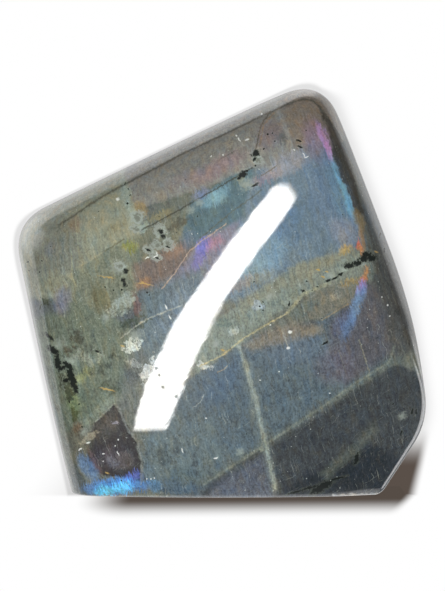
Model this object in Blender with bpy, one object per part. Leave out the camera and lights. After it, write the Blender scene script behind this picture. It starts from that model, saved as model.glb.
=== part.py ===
"""A polished labradorite freeform: one stone, domed on both faces, standing on a flat cut base.

The stone starts as a sphere. Each of its vertices moves along its own ray from the middle of the
stone out to the ground surface, which is given by a formula: the sides of the outline, two shallow
domes and the rounding between them, cut flat underneath. Metres, +Z up, the display face towards
-Y, and the origin in the base, under the middle of the stone's box.
"""

import math

import bmesh
import bpy
import numpy as np

MM = 0.001

# The middle of the stone, from which its sides are measured and its surface is cast.
HUB = np.array((0.0, 0.0, 37.2)) * MM

# The sides of the outline, anticlockwise from the lower right, seen from the front: the direction
# that each one faces, in degrees from +X towards +Z, its distance from the hub, and the radius of
# the corner between it and the next one.
SIDES = (
    ("cut corner", -32.3, 45.75 * MM, 14.0 * MM),
    ("lower right", 8.5, 36.1 * MM, 95.0 * MM),
    ("upper right", 20.8, 34.3 * MM, 6.2 * MM),
    ("top", 115.6, 32.35 * MM, 8.4 * MM),
    ("left", 192.6, 37.2 * MM, 0.0),
)

# The two domes: how far each one's crown is from the hub's plane, and its radius.
FACE_CROWN = 17.0 * MM
FACE_RADIUS = 120.0 * MM
BACK_CROWN = 14.0 * MM
BACK_RADIUS = 200.0 * MM
CROWN_X = -1.0 * MM
CROWN_Z = 41.2 * MM

# The back is ground away towards the top, so that the stone is thinner there.
BACK_SLOPE_ANGLE = 17.0
BACK_SLOPE_DISTANCE = 19.5 * MM
BACK_SLOPE_BLEND = 6.0 * MM

# The shoulder between a side and a dome is broad, and tightens downwards to a crisp arris.
SHOULDER_RADIUS = 10.0 * MM
LOW_LEFT_RADIUS = 5.0 * MM
LOW_RIGHT_RADIUS = 0.9 * MM
LEFT_TIGHTENS = (4.0 * MM, 52.0 * MM)
RIGHT_TIGHTENS = (20.0 * MM, 47.0 * MM)

# The arris around the base, which widens towards the cut corner.
BASE_ARRIS = 0.6 * MM
TOE_ARRIS = 1.6 * MM
TOE_STARTS = (19.0 * MM, 30.0 * MM)

SEGMENTS = 84
RINGS = 40
FINE_STEPS = 360
TURN_WEIGHT = 7.0 * MM
REACH = 80.0 * MM
HALVINGS = 36


def smooth_min(a, b, blend):
    """The smaller of two depths, rounded over where they are within blend of each other."""
    overlap = np.maximum(blend - np.abs(a - b), 0.0)
    return np.minimum(a, b) - overlap**2 / (4.0 * np.maximum(blend, 1e-9))


def ease(limits, value):
    """Rises smoothly from 0 at the first limit to 1 at the second."""
    share = np.clip((value - limits[0]) / (limits[1] - limits[0]), 0.0, 1.0)
    return share * share * (3.0 - 2.0 * share)


def corner_blend(radius, turn):
    """The blend that rounds a corner to about this radius, where the outline turns this far."""
    return 4.0 * radius * (1.0 - math.cos(turn / 2.0))


def outline_depth(x, z):
    """How far inside the outline a point lies, seen from the front."""
    depth = None
    blend = 0.0
    for index, (_, degrees, distance, radius) in enumerate(SIDES):
        angle = math.radians(degrees)
        side = distance - (x - HUB[0]) * math.cos(angle) - (z - HUB[2]) * math.sin(angle)
        depth = side if depth is None else smooth_min(depth, side, blend)
        if index + 1 < len(SIDES):
            blend = corner_blend(radius, math.radians(SIDES[index + 1][1]) - angle)
    return depth


def dome_depth(x, y, z, crown, radius, facing):
    """How far inside a dome a point lies. Facing is -1 for the display face and 1 for the back."""
    centre_y = facing * (crown - radius)
    away = np.sqrt((x - CROWN_X) ** 2 + (y - centre_y) ** 2 + (z - CROWN_Z) ** 2)
    return radius - away


def back_depth(x, y, z):
    """How far inside the back a point lies: its dome, blended into the slope near the top."""
    slope = math.radians(BACK_SLOPE_ANGLE)
    plane = BACK_SLOPE_DISTANCE - y * math.cos(slope) - (z - HUB[2]) * math.sin(slope)
    return smooth_min(dome_depth(x, y, z, BACK_CROWN, BACK_RADIUS, 1.0), plane, BACK_SLOPE_BLEND)


def shoulder_radius(x, z):
    """The rounding between a side and a dome."""
    left = LOW_LEFT_RADIUS + (SHOULDER_RADIUS - LOW_LEFT_RADIUS) * ease(LEFT_TIGHTENS, z)
    right = LOW_RIGHT_RADIUS + (SHOULDER_RADIUS - LOW_RIGHT_RADIUS) * ease(RIGHT_TIGHTENS, z)
    return left + (right - left) * ease((-12.0 * MM, 12.0 * MM), x)


def stone_depth(points):
    """How far inside the finished stone each point lies. It is 0 on the surface."""
    x, y, z = points[..., 0], points[..., 1], points[..., 2]
    radius = shoulder_radius(x, z)
    depths = (
        outline_depth(x, z),
        dome_depth(x, y, z, FACE_CROWN, FACE_RADIUS, -1.0),
        back_depth(x, y, z),
    )
    shares = sum(np.maximum(1.0 - depth / radius, 0.0) ** 2 for depth in depths)
    rounded = radius * (1.0 - np.sqrt(shares))
    arris = BASE_ARRIS + (TOE_ARRIS - BASE_ARRIS) * ease(TOE_STARTS, x)
    return smooth_min(rounded, z, arris)


def ray(turn, tilt):
    """The direction at an angle around the Y axis from +X, and tilted from there towards +Y."""
    level = np.cos(tilt)
    return np.stack((np.cos(turn) * level, np.sin(tilt), np.sin(turn) * level), axis=-1)


def cast(directions):
    """The points where rays from the hub leave the stone."""
    near = np.zeros(directions.shape[:-1])
    far = np.full(directions.shape[:-1], REACH)
    for _ in range(HALVINGS):
        middle = (near + far) / 2.0
        inside = stone_depth(HUB + directions * middle[..., None]) > 0.0
        near = np.where(inside, middle, near)
        far = np.where(inside, far, middle)
    return HUB + directions * near[..., None]


def even_angles(angles, points, count):
    """Angles that share out a curve's length, with more of them where it turns."""
    steps = np.diff(points, axis=0)
    lengths = np.linalg.norm(steps, axis=1)
    headings = steps / np.maximum(lengths, 1e-12)[:, None]
    turns = np.arccos(np.clip(np.sum(headings[1:] * headings[:-1], axis=1), -1.0, 1.0))
    spread = np.concatenate(((0.0,), turns)) + np.concatenate((turns, (0.0,)))
    measure = np.concatenate(((0.0,), np.cumsum(lengths + TURN_WEIGHT * spread / 2.0)))
    return np.interp(np.linspace(0.0, measure[-1], count + 1), measure, angles)


def surface_grid(segments, rings):
    """The stone's surface as rings of points, from its display face to its back."""
    around = np.linspace(0.0, 2.0 * math.pi, 4 * FINE_STEPS + 1)
    turns = even_angles(around, cast(ray(around, np.zeros_like(around))), segments)[:-1]
    across = np.linspace(-math.pi / 2.0, math.pi / 2.0, FINE_STEPS + 1)
    grid = np.empty((segments, rings + 1, 3))
    for column, turn in enumerate(turns):
        section = cast(ray(np.full_like(across, turn), across))
        tilts = even_angles(across, section, rings)
        grid[column] = cast(ray(np.full_like(tilts, turn), tilts))
    return grid


def centred(grid):
    """The same points with the middle of their box over the origin."""
    low = grid.min(axis=(0, 1))
    high = grid.max(axis=(0, 1))
    middle = (low + high) / 2.0
    return grid - (middle[0], middle[1], 0.0)


def clear_scene():
    for obj in list(bpy.data.objects):
        bpy.data.objects.remove(obj, do_unlink=True)


def stone_material():
    material = bpy.data.materials.new("labradorite")
    material.use_nodes = True
    shader = material.node_tree.nodes["Principled BSDF"]
    shader.inputs["Base Color"].default_value = (0.13, 0.15, 0.16, 1.0)
    shader.inputs["Metallic"].default_value = 0.0
    shader.inputs["Roughness"].default_value = 0.08
    return material


def build_stone(collection):
    """A UV sphere, poles at the front and the back, with its vertices moved out to the surface."""
    grid = centred(surface_grid(SEGMENTS, RINGS))
    ball = bmesh.new()
    bmesh.ops.create_uvsphere(ball, u_segments=SEGMENTS, v_segments=RINGS, radius=1.0)
    for vertex in ball.verts:
        height = max(-1.0, min(1.0, vertex.co.z))
        ring = round((math.asin(height) / math.pi + 0.5) * RINGS)
        column = round(math.atan2(-vertex.co.y, vertex.co.x) / (2.0 * math.pi) * SEGMENTS)
        vertex.co = grid[column % SEGMENTS, ring]
    mesh = bpy.data.meshes.new("stone")
    ball.to_mesh(mesh)
    ball.free()
    mesh.materials.append(stone_material())
    mesh.shade_smooth()
    mesh.set_sharp_from_angle(angle=math.radians(50.0))
    stone = bpy.data.objects.new("stone", mesh)
    collection.objects.link(stone)
    return stone


def main():
    clear_scene()
    collection = bpy.data.collections.new("labradorite freeform")
    bpy.context.scene.collection.children.link(collection)
    build_stone(collection)


main()
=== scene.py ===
"""The looks of a polished labradorite freeform, on a pale studio floor.

The stone's surface comes from the same formula as the CAD solid, on a much finer mesh, with the
small pits and the slight unevenness that hand polishing leaves. Its minerals are painted by shader
nodes from named features: convex domains, soft ellipses, ragged blotches and thin veins, which are
placed on the display face. Some of the marks are painted light: reflections and a highlight on the
rims and the toe, and bright glints. The soft shadows on the floor and on the white behind the stone
are painted too.
"""

import math

import bpy
import numpy as np
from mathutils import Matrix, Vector


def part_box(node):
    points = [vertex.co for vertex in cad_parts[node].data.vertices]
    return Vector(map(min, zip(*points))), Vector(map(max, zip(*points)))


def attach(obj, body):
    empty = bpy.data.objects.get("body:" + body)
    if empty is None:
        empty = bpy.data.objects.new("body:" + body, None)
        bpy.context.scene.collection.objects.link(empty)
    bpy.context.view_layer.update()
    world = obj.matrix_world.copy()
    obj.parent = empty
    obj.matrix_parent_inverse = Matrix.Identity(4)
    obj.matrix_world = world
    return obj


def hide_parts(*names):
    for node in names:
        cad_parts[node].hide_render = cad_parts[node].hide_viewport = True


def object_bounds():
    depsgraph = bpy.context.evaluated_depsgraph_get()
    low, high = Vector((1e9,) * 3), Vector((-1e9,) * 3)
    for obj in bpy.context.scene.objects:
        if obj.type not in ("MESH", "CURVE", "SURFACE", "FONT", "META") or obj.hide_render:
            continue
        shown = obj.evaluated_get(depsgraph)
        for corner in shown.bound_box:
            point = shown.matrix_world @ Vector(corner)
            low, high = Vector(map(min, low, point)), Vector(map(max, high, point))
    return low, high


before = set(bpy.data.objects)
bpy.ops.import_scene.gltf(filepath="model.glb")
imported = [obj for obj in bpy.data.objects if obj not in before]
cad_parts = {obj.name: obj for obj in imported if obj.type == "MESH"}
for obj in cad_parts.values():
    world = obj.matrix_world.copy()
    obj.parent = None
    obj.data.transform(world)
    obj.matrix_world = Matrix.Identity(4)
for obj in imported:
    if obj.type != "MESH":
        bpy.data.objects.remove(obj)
cad_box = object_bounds()

MM = 0.001

# ---------------------------------------------------------------------------------------------
# The camera. The display face is seen straight on.

IMAGE_WIDTH = 445
IMAGE_HEIGHT = 591
CAMERA_DISTANCE = 480 * MM
CAMERA_ELEVATION = math.radians(1.0)
CAMERA_TARGET = Vector((0.33, 0.0, 38.9)) * MM
# A photograph pixel's size at the camera's target.
PIXEL_SIZE = 0.196 * MM
SENSOR = 36.0
CLIP_START = 0.01
CLIP_END = 20.0


def camera_axes():
    """Where the camera stands, and the directions that it sees as forward, right and up."""
    forward = Vector((0.0, math.cos(CAMERA_ELEVATION), -math.sin(CAMERA_ELEVATION)))
    right = Vector((1.0, 0.0, 0.0))
    return CAMERA_TARGET - forward * CAMERA_DISTANCE, forward, right, right.cross(forward)


def add_camera():
    data = bpy.data.cameras.new("camera")
    data.sensor_width = SENSOR
    data.lens = SENSOR * CAMERA_DISTANCE / (PIXEL_SIZE * IMAGE_HEIGHT)
    data.clip_start = CLIP_START
    data.clip_end = CLIP_END
    camera = bpy.data.objects.new("camera", data)
    position, forward, _, _ = camera_axes()
    camera.location = position
    camera.rotation_euler = forward.to_track_quat("-Z", "Y").to_euler()
    bpy.context.scene.collection.objects.link(camera)
    bpy.context.scene.camera = camera


# ---------------------------------------------------------------------------------------------
# The ground surface, from the same values as the CAD solid.

HUB = np.array((0.0, 0.0, 37.2)) * MM
# The sides of the outline, seen from the front: name, the angle of the outward direction, the
# distance from the hub, and the radius of the corner after the side.
SIDES = (
    ("cut corner", -32.3, 45.75 * MM, 14.0 * MM),
    ("lower right", 8.5, 36.1 * MM, 95.0 * MM),
    ("upper right", 20.8, 34.3 * MM, 6.2 * MM),
    ("top", 115.6, 32.35 * MM, 8.4 * MM),
    ("left", 192.6, 37.2 * MM, 0.0),
)
FACE_CROWN = 17.0 * MM
FACE_RADIUS = 120.0 * MM
BACK_CROWN = 14.0 * MM
BACK_RADIUS = 200.0 * MM
CROWN_X = -1.0 * MM
CROWN_Z = 41.2 * MM
BACK_SLOPE_ANGLE = 17.0
BACK_SLOPE_DISTANCE = 19.5 * MM
BACK_SLOPE_BLEND = 6.0 * MM
# The shoulders are tighter low down, between these heights on the left and on the right. Across
# the middle of the stone the left's rounding passes into the right's.
SHOULDER_RADIUS = 10.0 * MM
LOW_LEFT_RADIUS = 5.0 * MM
LOW_RIGHT_RADIUS = 0.9 * MM
LEFT_TIGHTENS = (4.0 * MM, 52.0 * MM)
RIGHT_TIGHTENS = (20.0 * MM, 47.0 * MM)
LEFT_TO_RIGHT = (-12.0 * MM, 12.0 * MM)
# The arris of the base is wider at its right end, the toe.
BASE_ARRIS = 0.6 * MM
TOE_ARRIS = 1.6 * MM
TOE_STARTS = (19.0 * MM, 30.0 * MM)

# The mesh, and the finer steps around and across the stone from which its even angles come.
SEGMENTS = 420
RINGS = 220
STEPS_AROUND = 1200
STEPS_ACROSS = 300
TURN_WEIGHT = 7.0 * MM
REACH = 80.0 * MM
HALVINGS = 26
# Keeps a divisor above 0.
TINY = 1e-12


def smooth_min(a, b, blend):
    """The smaller of two depths, rounded over where they are within blend of each other."""
    overlap = np.maximum(blend - np.abs(a - b), 0.0)
    return np.minimum(a, b) - overlap**2 / (4.0 * np.maximum(blend, TINY))


def ease(limits, value):
    """Rises smoothly from 0 at the first limit to 1 at the second."""
    share = np.clip((value - limits[0]) / (limits[1] - limits[0]), 0.0, 1.0)
    return share * share * (3.0 - 2.0 * share)


def corner_blend(radius, turn):
    """The blend that rounds a corner to about this radius, where the outline turns this far."""
    return 4.0 * radius * (1.0 - math.cos(turn / 2.0))


def outline_depth(x, z):
    """How far inside the outline a point lies, seen from the front."""
    depth = None
    blend = 0.0
    for index, (_, degrees, distance, radius) in enumerate(SIDES):
        angle = math.radians(degrees)
        side = distance - (x - HUB[0]) * math.cos(angle) - (z - HUB[2]) * math.sin(angle)
        depth = side if depth is None else smooth_min(depth, side, blend)
        if index + 1 < len(SIDES):
            blend = corner_blend(radius, math.radians(SIDES[index + 1][1]) - angle)
    return depth


def dome_depth(x, y, z, crown, radius, facing):
    """How far inside a dome a point lies. Facing is -1 for the display face and 1 for the back."""
    centre_y = facing * (crown - radius)
    away = np.sqrt((x - CROWN_X) ** 2 + (y - centre_y) ** 2 + (z - CROWN_Z) ** 2)
    return radius - away


def back_depth(x, y, z):
    """How far inside the back a point lies: its dome, blended into the slope near the top."""
    slope = math.radians(BACK_SLOPE_ANGLE)
    plane = BACK_SLOPE_DISTANCE - y * math.cos(slope) - (z - HUB[2]) * math.sin(slope)
    return smooth_min(dome_depth(x, y, z, BACK_CROWN, BACK_RADIUS, 1.0), plane, BACK_SLOPE_BLEND)


def shoulder_radius(x, z):
    """The rounding between a side and a dome."""
    left = LOW_LEFT_RADIUS + (SHOULDER_RADIUS - LOW_LEFT_RADIUS) * ease(LEFT_TIGHTENS, z)
    right = LOW_RIGHT_RADIUS + (SHOULDER_RADIUS - LOW_RIGHT_RADIUS) * ease(RIGHT_TIGHTENS, z)
    return left + (right - left) * ease(LEFT_TO_RIGHT, x)


def stone_depth(points):
    """How far inside the finished stone each point lies. It is 0 on the surface."""
    x, y, z = points[..., 0], points[..., 1], points[..., 2]
    radius = shoulder_radius(x, z)
    depths = (
        outline_depth(x, z),
        dome_depth(x, y, z, FACE_CROWN, FACE_RADIUS, -1.0),
        back_depth(x, y, z),
    )
    shares = sum(np.maximum(1.0 - depth / radius, 0.0) ** 2 for depth in depths)
    rounded = radius * (1.0 - np.sqrt(shares))
    arris = BASE_ARRIS + (TOE_ARRIS - BASE_ARRIS) * ease(TOE_STARTS, x)
    return smooth_min(rounded, z, arris)


def ray(turn, tilt):
    """The direction at an angle around the Y axis from +X, and tilted from there towards +Y."""
    turn, tilt = np.broadcast_arrays(turn, tilt)
    level = np.cos(tilt)
    return np.stack((np.cos(turn) * level, np.sin(tilt), np.sin(turn) * level), axis=-1)


def cast(directions):
    """The points where rays from the hub leave the stone."""
    near = np.zeros(directions.shape[:-1])
    far = np.full(directions.shape[:-1], REACH)
    for _ in range(HALVINGS):
        middle = (near + far) / 2.0
        inside = stone_depth(HUB + directions * middle[..., None]) > 0.0
        near = np.where(inside, middle, near)
        far = np.where(inside, far, middle)
    return HUB + directions * near[..., None]


def even_angles(angles, points, count):
    """Angles that share out a curve's length, with more of them where it turns."""
    steps = np.diff(points, axis=0)
    lengths = np.linalg.norm(steps, axis=1)
    headings = steps / np.maximum(lengths, TINY)[:, None]
    turns = np.arccos(np.clip(np.sum(headings[1:] * headings[:-1], axis=1), -1.0, 1.0))
    spread = np.concatenate(((0.0,), turns)) + np.concatenate((turns, (0.0,)))
    measure = np.concatenate(((0.0,), np.cumsum(lengths + TURN_WEIGHT * spread / 2.0)))
    return np.interp(np.linspace(0.0, measure[-1], count + 1), measure, angles)


def surface_grid(segments, rings):
    """The stone's surface as rings of points from its display face to its back, and their turns."""
    around = np.linspace(0.0, 2.0 * math.pi, STEPS_AROUND + 1)
    turns = even_angles(around, cast(ray(around, np.zeros_like(around))), segments)[:-1]
    across = np.linspace(-math.pi / 2.0, math.pi / 2.0, STEPS_ACROSS + 1)
    sections = cast(ray(turns[:, None], across))
    tilts = np.array([even_angles(across, section, rings) for section in sections])
    return cast(ray(turns[:, None], tilts)), turns


def centred(grid):
    """The same points with the middle of their box over the middle of the CAD solid's."""
    low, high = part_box("stone")
    shift = (np.array(low) + np.array(high)) / 2.0
    shift -= (grid.min(axis=(0, 1)) + grid.max(axis=(0, 1))) / 2.0
    return grid + (shift[0], shift[1], 0.0)


# The bake's two islands, front and back: each one's middle and its scale, in texture units.
FRONT_ISLAND = (0.30, 0.30)
BACK_ISLAND = (0.79, 0.79)
FRONT_SCALE = 0.58 / 0.100
BACK_SCALE = 0.40 / 0.100


def unrolled(grid, turns, island, scale):
    """Places on a flat map, as far from its middle as the points are from the first ring."""
    steps = np.linalg.norm(np.diff(grid, axis=1), axis=2)
    reach = np.concatenate((np.zeros((len(turns), 1)), np.cumsum(steps, axis=1)), axis=1)
    across = island[0] + scale * reach * np.cos(turns)[:, None]
    along = island[1] + scale * reach * np.sin(turns)[:, None]
    return np.stack((across, along), axis=-1)


def sphere_faces(segments, rings):
    """The corners of a UV sphere's faces, each as its column and its ring."""
    faces = []
    for column in range(segments):
        after = (column + 1) % segments
        faces.append(((0, 0), (after, 1), (column, 1)))
        for ring in range(1, rings - 1):
            faces.append(((column, ring), (after, ring), (after, ring + 1), (column, ring + 1)))
        faces.append(((column, rings - 1), (after, rings - 1), (0, rings)))
    return faces


# The slight unevenness of hand polishing: waves, each one's direction in x and z and its length.
WAVES = ((0.94, 0.34, 19.0 * MM), (-0.42, 0.91, 15.0 * MM), (0.17, -0.98, 12.0 * MM))
WAVE_DEPTH = 0.0022 * MM
# Small pits of soft grains on the display face: photograph pixel, radius and depth.
PITS = (
    ((369.0, 257.0), 1.7 * MM, 0.07 * MM),
    ((345.0, 265.0), 1.3 * MM, 0.05 * MM),
    ((73.0, 382.0), 1.6 * MM, 0.06 * MM),
    ((54.0, 353.0), 1.4 * MM, 0.06 * MM),
    ((256.0, 156.0), 1.1 * MM, 0.05 * MM),
    ((243.0, 175.0), 1.1 * MM, 0.05 * MM),
    ((325.0, 343.0), 0.8 * MM, 0.03 * MM),
    ((162.0, 234.0), 1.3 * MM, 0.04 * MM),
)
# Both fade out towards the flat base.
WEAR_STARTS = (1.0 * MM, 4.0 * MM)


def wear(points):
    """How deep hand polishing has worn the surface at each point."""
    x, z = points[..., 0], points[..., 2]
    depth = np.zeros(x.shape)
    for across, up, length in WAVES:
        depth += WAVE_DEPTH * (1.0 + np.sin(2.0 * math.pi * (across * x + up * z) / length))
    for pixel, radius, deepest in PITS:
        middle = face_point(pixel)[0]
        away = np.hypot(x - middle.x, z - middle.z) + np.where(points[..., 1] < 0.0, 0.0, radius)
        depth += deepest * (1.0 - ease((0.0, radius), away))
    return depth * ease(WEAR_STARTS, z)


def worn(grid):
    """The same points, moved in towards the hub by their wear."""
    inward = HUB - grid
    inward /= np.linalg.norm(inward, axis=-1)[..., None]
    return grid + inward * wear(grid)[..., None]


def build_stone_mesh():
    """A UV sphere, poles at the front and the back, with its vertices moved out to the surface."""
    grid, turns = surface_grid(SEGMENTS, RINGS)
    grid = centred(worn(grid))
    front_map = unrolled(grid, turns, FRONT_ISLAND, FRONT_SCALE)
    back_map = unrolled(grid[:, ::-1], turns, BACK_ISLAND, BACK_SCALE)[:, ::-1]
    between = grid[:, 1:-1].reshape(-1, 3)
    points = np.concatenate((grid[:1, 0], between, grid[:1, -1]))
    last = len(points) - 1
    corners = sphere_faces(SEGMENTS, RINGS)
    numbers = {0: 0, RINGS: last}
    faces = [[numbers.get(r, 1 + c * (RINGS - 1) + r - 1) for c, r in face] for face in corners]
    mesh = bpy.data.meshes.new("polished stone")
    mesh.from_pydata(points.tolist(), [], faces)
    places = []
    for face in corners:
        on_front = sum(ring for _, ring in face) < len(face) * RINGS / 2
        flat = front_map if on_front else back_map
        places.extend(flat[max(c for c, _ in face) if r in numbers else c, r] for c, r in face)
    layer = mesh.uv_layers.new(name="OFBake")
    layer.data.foreach_set("uv", np.array(places).ravel())
    mesh.shade_smooth()
    return mesh


# ---------------------------------------------------------------------------------------------
# Painting with shader nodes.

# The level around which a noise swings.
NOISE_MIDDLE = 0.5


def linear(colour):
    """An sRGB colour from 0 to 255, as the linear colour that a shader takes."""
    shares = [value / 255.0 for value in colour]
    return tuple(v / 12.92 if v <= 0.04045 else ((v + 0.055) / 1.055) ** 2.4 for v in shares) + (1.0,)


class Painter:
    """Makes the shader nodes of one tree, by short calls that take numbers or nodes' outputs."""

    SOCKETS = {"VALUE": "NodeSocketFloat", "VECTOR": "NodeSocketVector", "RGBA": "NodeSocketColor"}

    def __init__(self, tree):
        self.tree = tree

    def node(self, kind, inputs, **settings):
        """A node of this kind. Its inputs are named or numbered, and are values or outputs."""
        node = self.tree.nodes.new(kind)
        for name, value in settings.items():
            setattr(node, name, value)
        for name, value in inputs.items():
            if isinstance(value, bpy.types.NodeSocket):
                self.tree.links.new(value, node.inputs[name])
            else:
                node.inputs[name].default_value = value
        return node

    def maths(self, operation, *values):
        return self.node("ShaderNodeMath", dict(enumerate(values)), operation=operation).outputs[0]

    def vector(self, operation, *values):
        inputs = dict(enumerate(values))
        return self.node("ShaderNodeVectorMath", inputs, operation=operation).outputs[0]

    def number(self, operation, *values):
        """A vector operation that gives a number."""
        inputs = dict(enumerate(values))
        return self.node("ShaderNodeVectorMath", inputs, operation=operation).outputs[1]

    def joined(self, *values):
        return self.node("ShaderNodeCombineXYZ", dict(enumerate(values))).outputs[0]

    def split(self, vector):
        return self.node("ShaderNodeSeparateXYZ", {0: vector}).outputs

    def noise(self, place, scale, detail, roughness=0.5):
        inputs = {"Vector": place, "Scale": scale, "Detail": detail, "Roughness": roughness}
        return self.node("ShaderNodeTexNoise", inputs)

    def grey(self, place, scale, detail, roughness=0.5):
        return self.noise(place, scale, detail, roughness).outputs[0]

    def scatter(self, place, scale):
        """The distance to the nearest of many scattered points, and that point's own colour."""
        return self.node("ShaderNodeTexVoronoi", {"Vector": place, "Scale": scale}).outputs

    def fade(self, value, start, end, top=1.0):
        """0 up to start and top from end on, smoothly. Start may be above end."""
        inputs = {"Value": value, "From Min": start, "From Max": end, "To Max": top}
        if start > end:
            inputs.update({"From Min": end, "From Max": start, "To Min": top, "To Max": 0.0})
        return self.node("ShaderNodeMapRange", inputs, interpolation_type="SMOOTHSTEP").outputs[0]

    def swing(self, place, scale, detail, roughness=0.5):
        """A noise that swings around 0."""
        return self.maths("SUBTRACT", self.grey(place, scale, detail, roughness), NOISE_MIDDLE)

    # A mix node takes numbers at its inputs 2 and 3, and colours at 6 and 7.
    def between(self, share, first, second):
        """From the first number, with a share of 0, to the second, with a share of 1."""
        return self.node("ShaderNodeMix", {0: share, 2: first, 3: second}).outputs[0]

    def mix(self, share, first, second, blend="MIX"):
        """The first colour, with this share of the second one over it."""
        inputs = {0: share, 6: first, 7: second}
        return self.node("ShaderNodeMix", inputs, data_type="RGBA", blend_type=blend).outputs[2]

    def group(self, name, build, *values):
        """A node group, whose nodes build() makes from the group's own inputs."""
        tree = bpy.data.node_groups.new(name, "ShaderNodeTree")
        for index, value in enumerate(values):
            kind = self.SOCKETS[value.type]
            tree.interface.new_socket(f"in {index}", in_out="INPUT", socket_type=kind)
        inner = Painter(tree)
        result = build(inner, *inner.node("NodeGroupInput", {}).outputs[:len(values)])
        tree.interface.new_socket("out", in_out="OUTPUT", socket_type=self.SOCKETS[result.type])
        inner.node("NodeGroupOutput", {0: result})
        node = self.tree.nodes.new("ShaderNodeGroup")
        node.node_tree = tree
        for index, value in enumerate(values):
            self.tree.links.new(value, node.inputs[index])
        return node.outputs[0]


# ---------------------------------------------------------------------------------------------
# The studio.

PURE_WHITE = (1.0, 1.0, 1.0, 1.0)

# The edges of the strip light's reflection on the face, as photograph pixels from its top down.
STRIP_LEFT = ((280.5, 178.5), (236.5, 230.0), (194.0, 290.0), (158.0, 350.0), (130.0, 432.5))
STRIP_RIGHT = ((299.0, 183.0), (272.0, 230.0), (229.0, 290.0), (197.0, 350.0), (162.5, 431.5))
STRIP_DISTANCE = 0.9
STRIP_POWER = 30.0
STRIP_COLOUR = (1.0, 0.985, 0.96, 1.0)
STRIP_STEPS = 104
STRIP_COLUMNS = 12
# It is built this much wider and longer than its reflection, and its glow is trimmed to shape:
# round at its top over this share of its length, where it also fades in, and cut off at its foot.
# It fades in later on the right.
STRIP_SPARE = (1.6, 1.04)
STRIP_ROUND = 0.06
STRIP_FADES = (-0.01, 0.07)
STRIP_FOOT = (1.0, 0.985)
STRIP_DIMMER_RIGHT = 0.06
# Its glow is frayed by a noise of streaks, so that its reflection's edges look scratched by
# polishing: their tilt, length and width, how fine they are, how far they reach and how soft the
# edges are, in photograph pixels.
FRAY_TILT = 42.0
FRAY_SIZES = (13.0, 0.8)
FRAY_DETAIL = 1.0
FRAY_REACH = 15.0
FRAY_SOFT = 1.0
# Holes are cut in its glow, so that its reflection looks broken up by grains that take no
# polish: photograph pixel and radius in pixels. Their edges are frayed too, and fade over these
# distances from the radius.
DULL_GRAINS = (
    (154.0, 368.0, 1.8),
    (157.0, 375.0, 1.4),
    (161.0, 388.0, 1.8),
    (164.0, 391.0, 1.2),
    (174.5, 397.0, 1.8),
)
DULL_FRAY = 4.0
DULL_FADES = (-0.7, 0.3)

# How bright the room is to reflections: dim on the camera's side, and white behind the stone. The
# side is a direction, measured against the ray's.
DIM_GLOSS = 0.05
WHITE_GLOSS = 1.3
GLOSS_SIDE = (-0.15, 1.0, -0.05)
GLOSS_STARTS = (0.33, 0.38)
# The white starts sooner towards the upper left.
GLOSS_CORNER = ((-0.93, 0.12, 0.35), (0.975, 0.995))
# Where the white is brighter or dimmer: a direction, the limits of its measure, and how much.
GLOSS_LAMPS = (
    ((-0.8, 0.45, 0.4), (0.88, 0.985), 1.1),
    ((-0.8, 0.58, -0.13), (0.95, 0.99), -0.4),
    ((1.0, 0.0, 0.0), (0.22, 0.42), -0.4),
    ((1.0, 0.0, 0.35), (0.82, 0.97), -0.9),
    ((0.10, 0.55, 0.83), (0.93, 0.99), 0.9),
    ((0.0, 1.0, 0.0), (0.80, 0.94), -0.45),
)
# Lamps apart from it, on the right and below, which show in the arrises there.
ARRIS_LAMPS = (
    ((0.90, -0.12, -0.42), (0.88, 0.93), 6.0),
    ((0.89, 0.45, -0.08), (0.94, 0.975), 2.2),
    ((0.10, -0.20, -0.97), (0.80, 0.93), 2.2),
)

# How bright the room is as plain light on the stone.
BACK_LIGHT = 0.5
FRONT_LIGHT = 0.05
LIGHT_SIDE = (-0.236, 1.0, -0.12)
LIGHT_STARTS = (-0.03, 0.05)

# The floor is a white light table. The stone's soft shadow around the base is painted into its
# glow: its middle and half sizes, its slant, its end on the right, and how far it fades.
FLOOR_SIZE = 3.0
SHADOW_MIDDLE = (11.0 * MM, 0.0, 0.0)
SHADOW_HALF = (28.0 * MM, 11.2 * MM, 0.0)
SHADOW_TURN = 0.08
SHADOW_RIGHT_END = (38.95 * MM, 36.15 * MM)
SHADOW_RIGHT_SLANT = 0.17
SHADOW_REACH = (11.0 * MM, 34.6 * MM, 1.0)
SHADOW_TONE = (86, 77, 70)
# A painted shadow also lies behind the right side, as if cast where the stone leans out over the
# table: its edge on the right and the slant of it, and where it starts and ends behind the stone
# and on the left.
CAST_TONE = (90, 80, 73)
CAST_EDGE_X = 37.75 * MM
CAST_SLANT = 0.1016
CAST_FADES = 1.3 * MM
CAST_STARTS = (-7.0 * MM, 0.0 * MM)
CAST_ENDS = (190.0 * MM, 60.0 * MM)
CAST_LEFT = (-40.0 * MM, 0.0 * MM)

# A soft shadow of the stone, painted on the white behind it: the share of the light that it takes,
# and the least and the most that it reaches beyond the outline. It widens towards the right sides.
# Near the line of the top it turns narrow, and just above that line it ends.
HALO_SHARE = 0.24
HALO_REACHES = (0.9 * MM, 4.6 * MM)
HALO_SIDES = ("lower right", "upper right")
HALO_WIDENS = (2.5 * MM, 0.0 * MM)
HALO_TOP = "top"
HALO_TURNS = (2.0 * MM, 7.0 * MM)
HALO_ENDS = (-0.5 * MM, 0.1 * MM)
# With this many times the blend, the smooth minimum node rounds a corner as smooth_min() does.
NODE_BLEND = 1.5


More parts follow.
